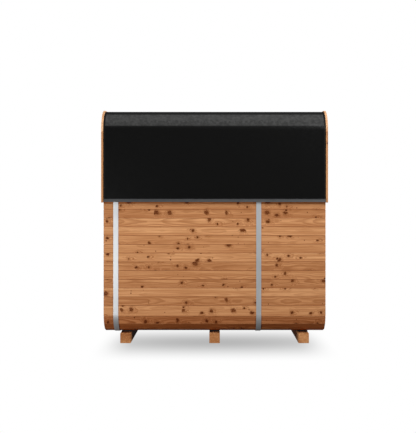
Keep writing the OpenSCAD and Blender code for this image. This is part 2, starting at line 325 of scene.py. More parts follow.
def redder(base, factor):
    """A colour made darker and warmer, as dense wood is, or lighter and paler past 1."""
    return (*(part * factor ** power for part, power in zip(base, DEEPER)), 1.0)


def colour_parts(colour):
    return add(colour.tree, "ShaderNodeSeparateColor", {"Color": colour})


def random_parts(number):
    """Three numbers from 0 to 1 that belong to a board."""
    luck = add(number.tree, "ShaderNodeTexWhiteNoise", {"W": number}, noise_dimensions="1D")
    return colour_parts(luck["Color"])


def stretched(parts, along, across, through=0.0):
    """The place in a board, scaled apart in each direction for a pattern that runs with the grain."""
    return combine(parts[0] * along, parts[1] * across, parts[2] * through)


def knot_field(place, cell, share, smallest, largest):
    """Knots scattered over the boards, one at most in each cell.

    Gives how far a point lies from the nearest knot, in knot radii, then the same drawn out along the
    grain, whether that knot is there, how far it may bend the grain, its radius and how large it is
    among the others.
    """
    tree = place.tree
    cells = {"Vector": place, "Scale": 1 / cell, "Randomness": 0.96}
    field = add(tree, "ShaderNodeTexVoronoi", cells, voronoi_dimensions="2D")
    border = add(tree, "ShaderNodeTexVoronoi", cells, voronoi_dimensions="2D", feature="DISTANCE_TO_EDGE")[0]
    luck = colour_parts(field["Color"])
    here = luck[0].calc("LESS_THAN", share)
    there, bending = here * border.remap(0.0, 0.04), here * border.remap(0.0, 0.22)
    rank = luck[1].calc("POWER", 2.2)
    radius = rank.between(smallest, largest)
    off = vector_calc("SUBTRACT", place, field["Position"]).parts()
    ragged = (noise(place, 55.0, 2.0) - 0.5) * 1.7

    def away(narrowing):
        return combine(off[0] * narrowing, off[1], 0.0).length() / radius + ragged

    own_shape = luck[2].between(0.6, 1.6)
    return away(own_shape), away(0.34), there, bending, radius, rank


def painted_underfloor_shade_mask(place):
    """How far a bearer lies in under the shell, where its shade is painted dark."""
    return place[1].calc("ABSOLUTE").remap(SHELL_WIDTH * 0.38, SHELL_WIDTH * 0.42, 1.0, 0.0)


def painted_drip_shadow_mask(place):
    """How far a stave's outer face lies in under the drip edge, where a darker, redder shadow of the drip
    edge is painted.
    """
    face = SHELL_WIDTH / 2
    outer = place[1].calc("ABSOLUTE").remap(face - 20 * MM, face - 10 * MM)
    return outer * place[2].remap(DRIP_BOTTOM - 24 * MM, DRIP_BOTTOM - 6 * MM)


def wood(name, base, knot_share=0.31, tone_spread=0.36, ring_gap=7 * MM, painted_shade_mask=None, kept=()):
    """Planed knotty softwood: growth rings round a pith outside the board, which part round the knots.

    Where a mask of painted shade is given, the colour there is multiplied by a darker, redder one.
    """
    material, tree, shader = new_material(name)
    grain = add(tree, "ShaderNodeAttribute", attribute_name="grain")["Vector"]
    board = add(tree, "ShaderNodeAttribute", attribute_name="board")["Fac"]
    # Each board has a place of its own in the patterns
    place = vector_calc("ADD", grain, combine(board * 61.0, board * 7.3, 0.0))
    parts, local = place.parts(), grain.parts()
    pith, looks = random_parts(board), random_parts(board + 3.7)

    share = looks[1].between(knot_share * 0.3, knot_share * 1.7)
    reach, eye, there, bending, radius, rank = knot_field(place, 0.100, share, 9 * MM, 24 * MM)
    pins, _, pin_there, *_ = knot_field(place, 0.060, knot_share * 0.25, 4 * MM, 7 * MM)
    core = reach.remap(0.75, 1.15, 1.0, 0.0) * there
    halo = reach.remap(0.9, 1.8, 0.45, 0.0) * there
    pull = eye.remap(0.6, 3.8, 1.0, 0.0) * bending
    pin = pins.remap(0.6, 1.3, 0.9, 0.0) * pin_there

    # Rings that close round a knot and run out along the grain
    out_of_knot = (eye - 1.0) * radius
    turns = (out_of_knot / (12 * MM)).calc("FRACT")
    lines = turns.remap(0.20, 0.60) * turns.remap(0.75, 1.0, 1.0, 0.0)
    rings = lines * bending * out_of_knot.remap(5 * MM, 40 * MM, 0.95, 0.0)

    # Growth rings: the distance from the pith, which wanders along the board
    wander = (noise(stretched(parts, 1.6, 1.0), 1.0, 2.0) - 0.5) * 0.050
    across = local[1] - pith[0].between(-0.055, 0.055)
    depth = pith[1].between(0.030, 0.100)
    out = combine(across, local[2] + depth + wander, 0.0).length() + pull * radius
    uneven = noise(stretched(parts, 12.0, 140.0), 1.0, 2.0) * 0.5
    turn = (out / ring_gap + uneven).calc("FRACT")
    late = turn.remap(0.20, 0.86) * turn.remap(0.90, 1.0, 1.0, 0.0)
    shown = looks[0].remap(0.0, 1.0, 0.35, 0.95)

    fibre = noise(stretched(parts, 18.0, 900.0, 900.0), 1.0)
    streak = noise(stretched(parts, 1.8, 62.0, 30.0), 1.0)
    tone = pith[2].between(1.0 - tone_spread / 2, 1.0 + tone_spread / 2)

    plain = blend(streak.remap(0.30, 0.70), redder(base, 1.14), redder(base, 0.84))
    ringed = blend((late * shown).calc("MAXIMUM", rings), plain, redder(base, 0.60))
    haired = blend(fibre.remap(0.35, 0.75, 0.0, 0.20), ringed, redder(base, 0.60))
    toned = blend(1.0, haired, combine(*(tone.calc("POWER", power) for power in DEEPER)), "MULTIPLY")
    haloed = blend(halo, toned, redder(base, 0.45))
    paler = noise(place, 130.0, 2.0, 0.6).remap(0.35, 0.65) * rank.remap(0.0, 0.8, 0.25, 1.0)
    knotted = blend(core, haloed, blend(paler, redder(base, 0.15), redder(base, 0.42)))
    seen = blend(pin, knotted, redder(base, 0.17))
    # Painted shade: a darker, redder colour multiplied in where the mask says the wood lies in shade
    if painted_shade_mask:
        seen = blend(painted_shade_mask(object_place(tree).parts()), seen, kept, "MULTIPLY")

    # Painted shade: what faces down is multiplied towards a darker, deeper red, the more the further it turns
    # down
    under = facing_up(tree).remap(0.0, -1.0, smooth=False).calc("POWER", 0.6)
    feed(shader, {
        "Base Color": blend(under, seen, PAINTED_UNDERSIDE_SHADE, "MULTIPLY"),
        "Roughness": fibre.remap(0.0, 1.0, 0.49, 0.65) + late * -0.08,
        "Specular IOR Level": 0.04,
    })
    bump(shader, late * 0.5 + fibre * 0.35 + core * -0.6, 0.25, 0.6 * MM)
    return material


def roof_rubber():
    """Smooth black rubber sheet, with a painted reflection of the light above as a mottled grey band where it
    bends, and a painted shadow of the fascia as a dark line at its ends.
    """
    material, tree, shader = new_material("roof_rubber")
    place = object_place(tree)
    patches, grit = noise(place, 32.0, 3.0, 0.6), noise(place, 240.0, 3.0, 0.7)
    facing = facing_up(tree)
    # Painted reflection: a grey band where the sheet bends over the corner, mottled in patches, standing in
    # for the light above reflected there
    bend = facing.remap(0.21, 0.27) * facing.remap(0.79, 0.83, 1.0, 0.0)
    mottled_reflection = patches.remap(0.30, 0.70, 0.45, 1.0) * facing.remap(0.25, 0.75, 0.8, 1.0)
    sheet = blend(bend * mottled_reflection, tint(colours().roof), PAINTED_REFLECTION_GREY)
    # Painted shadow: a dark line at each end of the sheet, where the fascia stands proud of it
    end = box("roof_skin")[1].x - sizes().painted_shadow_width
    edge = place.parts()[0].calc("ABSOLUTE").remap(end - 3 * MM, end)
    duller = edge.calc("MAXIMUM", facing.remap(0.3, 0.9))
    feed(shader, {
        "Base Color": blend(edge, sheet, PAINTED_FASCIA_SHADOW),
        "Roughness": patches.remap(0.3, 0.7, 0.20, 0.26) + duller * 0.30,
        "Specular IOR Level": 0.14,
    })
    bump(shader, patches * 0.7 + grit * 0.3, 0.07, 1.0 * MM)
    return material


def band_steel():
    """Flat steel strip, drawn along its length and a little dull."""
    material, tree, shader = new_material("band_steel")
    place = object_place(tree)
    drawn = add(tree, "ShaderNodeMapping", {"Vector": place, "Scale": (900.0, 6.0, 6.0)})[0]
    lines, base = noise(drawn, 1.0), colours().steel
    feed(shader, {
        "Base Color": blend(noise(place, 7.0), tint(base, 0.88), tint(base, 1.12)),
        "Roughness": lines.remap(0.3, 0.7, 0.44, 0.54),
        "Metallic": 1.0,
    })
    bump(shader, lines, 0.12, 0.2 * MM)
    return material


def painted(name, base, roughness):
    """Stove-painted metal with a fine orange peel and faint dust."""
    material, tree, shader = new_material(name)
    place = object_place(tree)
    dust = noise(place, 14.0, 4.0, 0.6)
    feed(shader, {
        "Base Color": blend(dust, tint(base, 0.75), tint(base, 1.25)),
        "Roughness": dust.remap(0.3, 0.7, roughness - 0.05, roughness + 0.08),
        "Specular IOR Level": 0.15,
    })
    bump(shader, noise(place, 420.0, 2.0), 0.10, 0.2 * MM)
    return material


def packing_rubber():
    """Matt black packing strip with a crumbly face."""
    material, tree, shader = new_material("pad_rubber")
    crumbs = noise(object_place(tree), 300.0, 3.0, 0.7)
    feed(shader, {
        "Base Color": blend(crumbs, (0.004, 0.004, 0.004, 1), (0.016, 0.016, 0.016, 1)),
        "Roughness": 0.85,
    })
    bump(shader, crumbs, 0.5, 0.8 * MM)
    return material


WOODS = {  # the colour of each wood and what sets it apart
    "stave_wood": ("stave", {"tone_spread": 0.23, "painted_shade_mask": painted_drip_shadow_mask, "kept": PAINTED_DRIP_SHADOW}),
    "wall_wood": ("wall", {"knot_share": 0.24}),
    "door_wood": ("door", {"knot_share": 0.2}),
    "frame_wood": ("trim", {"knot_share": 0.12}),
    "fascia_wood": ("trim", {"knot_share": 0.3}),
    "round_fascia_wood": ("round_trim", {"knot_share": 0.15}),
    "bearer_wood": ("bearer", {
        "knot_share": 0.12, "tone_spread": 0.5, "ring_gap": 4 * MM,
        "painted_shade_mask": painted_underfloor_shade_mask, "kept": PAINTED_UNDERFLOOR_SHADE}),
    "deck_wood": ("trim", {}),
    "pull_wood": ("pull", {"knot_share": 0.0}),
}
OTHERS = {
    "pad_rubber": packing_rubber,
    "roof_rubber": roof_rubber,
    "band_steel": band_steel,
    "drip_metal": lambda: painted("drip_metal", colours().drip, 0.42),
    "hinge_metal": lambda: painted("hinge_metal", colours().hinge, 0.38),
}
finishes = {}


def finish(slot):
    """The material of one of the record's slots, made once."""
    if slot not in finishes:
        if slot in WOODS:
            name, settings = WOODS[slot]
            finishes[slot] = wood(slot, getattr(colours(), name), **settings)
        else:
            finishes[slot] = OTHERS[slot]()
    return finishes[slot]


# ---- rows of boards, made by Geometry Nodes ----

BOARD_INPUTS = {
    "Board Length": "Float", "Thickness": "Float", "Gap": "Float", "Seed": "Int",
    "Turn": "Rotation", "Place": "Vector", "Material": "Material",
}


def geometry_tree(name, sockets):
    """An empty geometry tree with named inputs, what they give, and the node that takes the result."""
    tree = bpy.data.node_groups.new(name, "GeometryNodeTree")
    tree.interface.new_socket("Geometry", in_out="OUTPUT", socket_type="NodeSocketGeometry")
    for label, kind in sockets.items():
        tree.interface.new_socket(label, in_out="INPUT", socket_type="NodeSocket" + kind)
    return tree, Outputs(tree.nodes.new("NodeGroupInput")), tree.nodes.new("NodeGroupOutput")


def store(geometry, name, value, kind, domain):
    inputs = {"Geometry": geometry, "Name": name, "Value": value}
    return add(geometry.tree, "GeometryNodeStoreNamedAttribute", inputs, data_type=kind, domain=domain)[0]


def realized(instances):
    return add(instances.tree, "GeometryNodeRealizeInstances", {"Geometry": instances})[0]


def on_points(points, instance, **inputs):
    inputs = {"Points": points, "Instance": instance, **inputs}
    return add(instance.tree, "GeometryNodeInstanceOnPoints", inputs)[0]


def row_of_boards(given, wide, count, first, step, cuts=2):
    """Boards side by side along Y, a step apart. Each keeps its own places as its grain."""
    tree = wide.tree
    size = combine(given["Board Length"], wide - given["Gap"], given["Thickness"])
    cube = add(tree, "GeometryNodeMeshCube", {
        "Size": size, "Vertices X": 2, "Vertices Y": cuts, "Vertices Z": 2})[0]
    board = store(cube, "grain", add(tree, "GeometryNodeInputPosition")[0], "FLOAT_VECTOR", "POINT")
    line = add(tree, "GeometryNodeMeshLine", {
        "Count": count, "Start Location": combine(0.0, first, 0.0), "Offset": combine(0.0, step, 0.0)})[0]
    return on_points(line, board)


def numbered(instances, seed):
    """Gives each board its own number, and lets it stand a hair proud or shy of its neighbours."""
    tree = instances.tree
    luck = add(tree, "FunctionNodeRandomValue", {"Seed": seed}, data_type="FLOAT")[1]
    marked = store(instances, "board", luck, "FLOAT", "INSTANCE")
    hair = combine(0.0, 0.0, (luck - 0.5) * (0.5 * MM))
    return add(tree, "GeometryNodeTranslateInstances", {"Instances": marked, "Translation": hair})[0]


def hand_out(geometry, given, result):
    """Gives the geometry its material, as the result of its tree."""
    inputs = {"Geometry": geometry, "Material": given["Material"]}
    feed(result, {0: add(geometry.tree, "GeometryNodeSetMaterial", inputs)[0]})


def set_down(boards, given, result):
    """Realizes the boards, turns them and puts them in place.

    The grain goes on face corners and the number on faces, because both then last through a later cut.
    """
    real = realized(boards)
    for name, kind, domain in (("board", "FLOAT", "FACE"), ("grain", "FLOAT_VECTOR", "CORNER")):
        kept = add(boards.tree, "GeometryNodeInputNamedAttribute", {"Name": name}, data_type=kind)[0]
        real = store(real, name, kept, kind, domain)
    inputs = {"Geometry": real, "Rotation": given["Turn"], "Translation": given["Place"]}
    hand_out(add(boards.tree, "GeometryNodeTransform", inputs)[0], given, result)


def board_row_tree():
    """A flat row of equal boards: they run along X, lie side by side along Y and are thick along Z."""
    tree, given, result = geometry_tree("Board Row", {**BOARD_INPUTS, "Row Width": "Float", "Boards": "Int"})
    pitch = given["Row Width"] / given["Boards"]
    first = (pitch - given["Row Width"]) * 0.5
    row = row_of_boards(given, pitch, given["Boards"], first, pitch)
    set_down(numbered(row, given["Seed"]), given, result)
    return tree


def corner_tree():
    """A quarter turn of staves, laid flat and then bent: a lead-in stave at each end, flat ones between.

    The flat layout lies along Y, from minus to plus half of its width, with the outside of the shell at +Z.
    """
    tree, given, result = geometry_tree("Corner Staves", {
        **BOARD_INPUTS, "Radius": "Float", "Lead": "Float", "Lead Turn": "Float", "Narrow Boards": "Int"})
    radius = given["Radius"] - given["Thickness"] * 0.5
    half_arc = radius * (math.pi / 4)
    lead_wide = given["Lead"] + given["Lead Turn"] * radius
    lead_first = lead_wide * 0.5 - (half_arc + given["Lead"])
    narrow_span = (math.pi / 2 - given["Lead Turn"] * 2.0) * radius
    narrow = narrow_span / given["Narrow Boards"]
    narrow_first = (narrow - narrow_span) * 0.5
    both = tree.nodes.new("GeometryNodeJoinGeometry")
    feed(both, {0: row_of_boards(given, lead_wide, 2, lead_first, lead_first * -2.0, cuts=25)})
    feed(both, {0: row_of_boards(given, narrow, given["Narrow Boards"], narrow_first, narrow)})
    flat = realized(numbered(Outputs(both)[0], given["Seed"]))

    # The bend: Y becomes the way round the arc, and what is past its ends runs on straight
    x, y, z = add(tree, "GeometryNodeInputPosition")[0].parts()
    on_arc = y.calc("MINIMUM", half_arc).calc("MAXIMUM", half_arc * -1.0)
    past, angle, out = y - on_arc, on_arc / radius, radius + z
    sine, cosine = angle.calc("SINE"), angle.calc("COSINE")
    bent = combine(x, out * sine + past * cosine, out * cosine - past * sine)
    set_down(add(tree, "GeometryNodeSetPosition", {"Geometry": flat, "Position": bent})[0], given, result)
    return tree


def head_tree():
    """A head on each given point: a short prism with a chamfered rim and a tapered recess.

    It stands along +Z before its turn.
    """
    tree, given, result = geometry_tree("Heads", {
        "Points": "Geometry", "Sides": "Int", "Radius": "Float", "Height": "Float", "Recess": "Float",
        "Turn": "Rotation", "Material": "Material"})
    lower = given["Height"] * 0.7
    prism = add(tree, "GeometryNodeMeshCylinder", {
        "Vertices": given["Sides"], "Radius": given["Radius"], "Depth": lower})
    shape, top = prism["Mesh"], prism["Top"]
    for rise, narrowing in ((given["Height"] * 0.3, 0.84), (0.0, 0.55), (given["Recess"] * -1.0, 0.8)):
        raised = add(tree, "GeometryNodeExtrudeMesh", {
            "Mesh": shape, "Selection": top, "Offset Scale": rise, "Individual": False})
        top = raised["Top"]
        shape = add(tree, "GeometryNodeScaleElements", {
            "Geometry": raised["Mesh"], "Selection": top, "Scale": narrowing})[0]
    foot = {"Geometry": shape, "Translation": combine(0.0, 0.0, lower * 0.5)}
    head = add(tree, "GeometryNodeTransform", foot)[0]
    hand_out(realized(on_points(given["Points"], head, Rotation=given["Turn"])), given, result)
    return tree


# ---- meshes and modifiers ----


def new_object(name, data):
    thing = bpy.data.objects.new(name, data)
    bpy.context.collection.objects.link(thing)
    return thing


def object_from(shape, name):
    """A new object with the mesh of a bmesh, which is freed."""
    mesh = bpy.data.meshes.new(name)
    shape.to_mesh(mesh)
    shape.free()
    return new_object(name, mesh)


def modify(piece, name, kind, **settings):
    modifier = piece.modifiers.new(name, kind)
    for key, value in settings.items():
        setattr(modifier, key, value)
    return modifier


def round_edges(piece, width):
    modify(piece, "Arris", "BEVEL", width=width, segments=2, limit_method="ANGLE",
           angle_limit=math.radians(35), use_clamp_overlap=True)


def grown(name, tree, values, arris=None, cutter=None, points=()):
    """Runs a geometry tree, cuts and rounds what it makes, and keeps that as a plain mesh object."""
    mesh = bpy.data.meshes.new(name)
    mesh.from_pydata(points, [], [])
    piece = new_object(name, mesh)
    modifier = modify(piece, "Boards", "NODES", node_group=tree)
    sockets = {item.name: item.identifier for item in tree.interface.items_tree if item.in_out == "INPUT"}
    for label, value in values.items():
        modifier[sockets[label]] = value
    if cutter:
        modify(piece, "Outline", "BOOLEAN", operation="INTERSECT", object=cutter, solver="EXACT",
               material_mode="TRANSFER")
    if arris:
        round_edges(piece, arris)
    settled(piece)
    piece.data.materials.pop(index=0)  # the empty slot that the tree's own shapes bring
    return piece


def keep_result(piece):
    """Turns what the modifiers make into the piece's own mesh, and takes the modifiers away."""
    bpy.context.view_layer.update()
    evaluated = piece.evaluated_get(bpy.context.evaluated_depsgraph_get())
    mesh = bpy.data.meshes.new_from_object(evaluated)
    piece.modifiers.clear()
    piece.data = mesh


def settled(piece, sharp=40):
    """Keeps the modified mesh, smooth except over edges sharper than so many degrees."""
    keep_result(piece)
    piece.data.shade_smooth()
    piece.data.set_sharp_from_angle(angle=math.radians(sharp))
    modify(piece, "Even shading", "WEIGHTED_NORMAL", keep_sharp=True)
    keep_result(piece)
    return piece


def hand_over(piece, slot, *nodes):
    """Hangs a finished piece under the root, which carries it, and hides the CAD nodes that it stands for.
    The slot that it is given is not used.
    """
    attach(piece, "root")
    if nodes:
        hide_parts(*nodes)


def lay_boards(node, slot, tree, values, arris, cutter=None):
    """Grows boards and hands them over in place of a CAD node."""
    name = node.removesuffix("_staves") + "_boards"
    values = {**values, "Gap": sizes().board_gap, "Material": finish(slot)}
    hand_over(grown(name, tree, values, arris, cutter), slot, node)


# ---- pieces that keep their CAD form ----


def cad_copy(name, node):
    """An object with the merged and cleaned mesh of a CAD node."""
    shape = bmesh.new()
    shape.from_mesh(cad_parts[node].data)
    bmesh.ops.remove_doubles(shape, verts=shape.verts, dist=0.02 * MM)
    bmesh.ops.dissolve_limit(shape, angle_limit=math.radians(0.5), verts=shape.verts, edges=shape.edges)
    return object_from(shape, name)


def dress(piece, slot, node, arris=None, sharp=40):
    """Gives a piece its finish and rounded edges, and hands it over in place of a CAD node."""
    piece.data.materials.clear()
    piece.data.materials.append(finish(slot))
    round_edges(piece, arris or sizes().metal_edge)
    hand_over(settled(piece, sharp), slot, node)


def islands(mesh):
    """The vertices of each separate solid in a mesh."""
    home = list(range(len(mesh.vertices)))

    def lowest(vertex):
        while home[vertex] != vertex:
            vertex = home[vertex]
        return vertex

    for edge in mesh.edges:
        first, second = sorted(map(lowest, edge.vertices))
        home[second] = first
    found = {}
    for vertex in range(len(home)):
        found.setdefault(lowest(vertex), []).append(vertex)
    return found.values()


def grain_marks(piece, along, across, number):
    """Gives a wooden piece its grain: the place in each of its solids, and a number for each."""
    mesh = piece.data
    through = 3 - AXES[along] - AXES[across]
    grain, board = [None] * len(mesh.vertices), [0.0] * len(mesh.vertices)
    for index, island in enumerate(islands(mesh)):
        centre = sum((mesh.vertices[v].co for v in island), Vector()) / len(island)
        for vertex in island:
            off = mesh.vertices[vertex].co - centre
            grain[vertex] = (off[AXES[along]], off[AXES[across]], off[through])
            board[vertex] = (number * GOLDEN_STEP + index * SOLID_STEP) % 1.0
    marks = mesh.attributes.new("grain", "FLOAT_VECTOR", "POINT").data
    marks.foreach_set("vector", [part for place in grain for part in place])
    mesh.attributes.new("board", "FLOAT", "POINT").data.foreach_set("value", board)


def timber(node, slot, along, across, number, arris=None):
    """A wooden CAD piece with rounded edges and its own grain. The number picks its tone and knots."""
    piece = cad_copy(node + "_timber", node)
    grain_marks(piece, along, across, number)
    dress(piece, slot, node, arris or sizes().timber_arris)


# ---- fasteners ----


def turned(x=0.0, y=0.0, z=0.0):
    """Angles in degrees as the rotation that a geometry tree takes."""
    return (math.radians(x), math.radians(y), math.radians(z))


def heads(name, slot, points, turn, radius, height, sides=14):
    """One piece with the same head on every point."""
    piece = grown(name, head_tree(), {
        "Sides": sides, "Radius": radius, "Height": height, "Recess": height * 0.4, "Turn": turn,
        "Material": finish(slot),
    }, points=points)
    hand_over(piece, slot)


def spread(first, last, count):
    """Evenly spaced values from the first to the last."""
    return [first + (last - first) * step / (count - 1) for step in range(count)]


# ---- operators ----


class SAUNA_OT_staves(Operator):
    """Lay the staves of the shell's four flat sides and four round corners"""

    bl_idname = "sauna.staves"
    bl_label = "Staves"

    def execute(self, context):
        size = sizes()
        row, corner = board_row_tree(), corner_tree()
        inner, radius = STAVE_THICKNESS / 2, size.corner_radius
        stave = {"Board Length": STAVE_LENGTH, "Thickness": STAVE_THICKNESS}
        flats = (
            ("near_wall_staves", turned(x=90), (0, wall_low.y + inner, SHELL_MIDDLE), SIDE_SPAN),
            ("far_wall_staves", turned(x=-90), (0, far_high.y - inner, SHELL_MIDDLE), SIDE_SPAN),
            ("floor_staves", turned(x=180), (0, 0, SHELL_BOTTOM + inner), floor_high.y - floor_low.y),
            ("ceiling_staves", turned(), (0, 0, SHELL_TOP - inner), ceiling_high.y - ceiling_low.y),
        )
        for index, (node, turn, place, span) in enumerate(flats):
            lay_boards(node, "stave_wood", row, {
                **stave, "Row Width": span, "Boards": round(span / size.stave_width),
                "Seed": size.seed + index, "Turn": turn, "Place": place,
            }, size.stave_arris)
        corners = (("near", "bottom", 135), ("near", "top", 45), ("far", "bottom", -135), ("far", "top", -45))
        for index, (side, level, angle) in enumerate(corners):
            height = SHELL_TOP - radius if level == "top" else SHELL_BOTTOM + radius
            lay_boards(f"{side}_{level}_corner", "stave_wood", corner, {
                **stave, "Radius": radius, "Lead": CORNER_REACH - radius, "Lead Turn": size.lead_turn,
                "Narrow Boards": size.corner_staves, "Seed": size.seed + 10 + index,
                "Turn": turned(x=angle), "Place": (0, SIDES[side] * (SHELL_WIDTH / 2 - radius), height),
            }, size.stave_arris)
        return {"FINISHED"}


def quarter_turn(centre_y, centre_z, radius, start, steps):
    """Places round a quarter of a circle, from a starting angle in degrees."""
    angles = [math.radians(start + 90 * step / steps) for step in range(steps + 1)]
    return [(centre_y + radius * math.cos(angle), centre_z + radius * math.sin(angle)) for angle in angles]


def wall_cutter(node, round_sides):
    """A prism over a wall piece's outline, with round corners on the sides that reach the shell's."""
    low, high = box(node)
    centre, spare = middle(node), 10 * MM
    radius = sizes().corner_radius - (SHELL_TOP - box("rear_wall")[1].z)
    outline = []
    for side, y, z, start in (("far", high.y, high.z, 0), ("near", low.y, high.z, 90),
                              ("near", low.y, low.z, 180), ("far", high.y, low.z, 270)):
        if side in round_sides:
            inner_y = y - math.copysign(radius, y - centre.y)
            inner_z = z - math.copysign(radius, z - centre.z)
            outline += quarter_turn(inner_y, inner_z, radius, start, steps=16)
        else:
            outline.append((y, z))
    shape = bmesh.new()
    face = shape.faces.new([shape.verts.new((low.x - spare, y, z)) for y, z in outline])
    sweep = bmesh.ops.extrude_face_region(shape, geom=[face])
    moved = [item for item in sweep["geom"] if isinstance(item, bmesh.types.BMVert)]
    bmesh.ops.translate(shape, verts=moved, vec=(high.x - low.x + 2 * spare, 0, 0))
    bmesh.ops.recalc_face_normals(shape, faces=shape.faces)
    cutter = object_from(shape, node + "_outline")
    cutter.data.materials.append(finish("wall_wood"))
    return cutter


class SAUNA_OT_end_walls(Operator):
    """Lay the boards of the rear wall and of the front wall round its doorway"""

    bl_idname = "sauna.end_walls"
    bl_label = "End walls"

    def execute(self, context):
        size = sizes()
        row = board_row_tree()
        whole_low, whole_high = box("rear_wall")
        span = whole_high.z - whole_low.z
        pieces = {
            "rear_wall": ("near", "far"),
            "front_wall_near": ("near",),
            "front_wall_far": ("far",),
            "front_wall_over_door": (),
            "front_wall_under_door": (),
        }
        for node, round_sides in pieces.items():
            low, high = box(node)
            cutter = wall_cutter(node, round_sides)
            lay_boards(node, "wall_wood", row, {
                "Board Length": whole_high.y - whole_low.y, "Row Width": span, "Thickness": high.x - low.x,
                "Boards": round(span / size.wall_board_width),
                "Seed": size.seed + (20 if node == "rear_wall" else 21),
                "Turn": turned(x=90, z=90), "Place": ((low.x + high.x) / 2, 0, SHELL_MIDDLE),
            }, size.board_arris, cutter)
            bpy.data.objects.remove(cutter)
        return {"FINISHED"}


class SAUNA_OT_door(Operator):
    """Make the door: its boards, ledges, frame, hinges and pulls"""

    bl_idname = "sauna.door"
    bl_label = "Door"

    def execute(self, context):
        size = sizes()
        low, high = box("door_leaf")
        lay_boards("door_leaf", "door_wood", board_row_tree(), {
            "Board Length": high.z - low.z, "Row Width": high.y - low.y, "Thickness": high.x - low.x,
            "Boards": size.door_boards, "Seed": size.seed + 30, "Turn": turned(y=90),
            "Place": tuple(middle("door_leaf")),
        }, size.board_arris)
        timber("door_ledges", "door_wood", "Y", "Z", 3, arris=3 * MM)
        timber("door_jamb_near", "frame_wood", "Z", "Y", 5)
        timber("door_jamb_far", "frame_wood", "Z", "Y", 6)
        timber("door_head", "frame_wood", "Y", "Z", 8)
        timber("door_sill", "frame_wood", "Y", "Z", 9)
        timber("door_pulls", "pull_wood", "Z", "Y", 11, arris=4 * MM)
        dress(cad_copy("door_hinge_straps", "door_hinges"), "hinge_metal", "door_hinges")

        # Two screws in each board over and under each strap
        strap_low, strap_high = box("door_hinges")
        levels = (strap_low.z + size.jamb_plate / 2, strap_high.z - size.jamb_plate / 2)
        board, rise = (high.y - low.y) / size.door_boards, size.ledge_screw_rise
        heads("door_leaf_screws", "hinge_metal", [
            (high.x, low.y + board * (number + 0.5), level + off)
            for number in range(size.door_boards) for level in levels for off in (-rise, rise)
        ], turned(y=90), size.screw_head, size.screw_rise)

        # Bolts along each strap, and two in each jamb plate
        inset, end_room, plate_rise, bolt_height = 20 * MM, 40 * MM, 40 * MM, 4 * MM
        places = [(y, 0.0) for y in spread(strap_low.y + inset, high.y - end_room, 4)]
        places += [(strap_high.y - inset, off) for off in (-plate_rise, plate_rise)]
        heads("door_hinge_bolts", "hinge_metal", [
            (strap_low.x + size.hinge_metal, y, level + off) for y, off in places for level in levels
        ], turned(y=90), size.hinge_bolt, bolt_height, sides=18)
        return {"FINISHED"}


class SAUNA_OT_bands(Operator):
    """Put the two steel bands round the shell, and the bolt that draws the two lugs of each together"""

    bl_idname = "sauna.bands"
    bl_label = "Bands"

    def execute(self, context):
        nodes = [end + "_band" for end in ENDS]
        for node in nodes:
            dress(cad_copy(node + "_steel", node), "band_steel", node)

        size = sizes()
        centres = [(middle(node).x, box(node)[0].z + size.lug_height / 2) for node in nodes]
        out = size.lug_gap / 2 + size.lug_thickness
        washer, spare, hexagon = 2 * MM, 16 * MM, 10.5 * MM
        for name, ys, angle, radius, height, sides in (
            ("band_bolt_shanks", [-out - spare], -90, 6 * MM, 2 * out + spare + 1 * MM, 16),
            ("band_washers", [out, -out - washer], -90, 12 * MM, washer, 24),
            ("band_bolt_heads", [out + washer], -90, hexagon, 7.5 * MM, 6),
            ("band_bolt_nuts", [-out - washer], 90, hexagon, 9 * MM, 6),
        ):
            points = [(x, y, z) for x, z in centres for y in ys]
            heads(name, "band_steel", points, turned(x=angle), radius, height, sides)
        return {"FINISHED"}


def swept(name, outside, inside, x0, x1, rows):
    """A sheet with the section between two paths across the shell, run along X in rows of faces."""
    shape = bmesh.new()
    outline = outside + inside[::-1]
    rings = [[shape.verts.new((x, y, z)) for y, z in outline] for x in spread(x0, x1, rows + 1)]
    for ring, further in zip(rings, rings[1:]):
        for i in range(len(ring)):
            shape.faces.new((ring[i - 1], ring[i], further[i], further[i - 1]))
    for ring in (rings[0], rings[-1]):
        for i in range(len(outside) - 1):
            shape.faces.new((ring[i], ring[i + 1], ring[-i - 2], ring[-i - 1]))
    bmesh.ops.recalc_face_normals(shape, faces=shape.faces)
    return object_from(shape, name)


def over_the_roof(radius, side, top, foot):
    """A path up one side of the roof, round its corner, across and down the other side."""
    half = [(side, foot), *quarter_turn(side - radius, top - radius, radius, 0, steps=32)]
    return half + [(-y, z) for y, z in reversed(half)]


class SAUNA_OT_roof(Operator):
    """Lay the roof's boards, its rubber skin and the drip edges"""

    bl_idname = "sauna.roof"
    bl_label = "Roof"

    def execute(self, context):
        for number, node in enumerate(("roof_deck_top", "roof_deck_near", "roof_deck_far")):
            timber(node, "deck_wood", "X", "Y", 15 + number, arris=0.5 * MM)

        low, high = box("roof_skin")
        thick = sizes().skin_thickness
        radius = sizes().corner_radius + high.z - SHELL_TOP
        outside = over_the_roof(radius, high.y, high.z, low.z)
        inside = over_the_roof(radius - thick, high.y - thick, high.z - thick, low.z)
        sheet = swept("roof_sheet", outside, inside, low.x, high.x, rows=12)
        dress(sheet, "roof_rubber", "roof_skin")
        for side in SIDES:
            node = f"drip_edge_{side}"
            dress(cad_copy(f"{side}_drip_strip", node), "drip_metal", node, sharp=20)
        return {"FINISHED"}


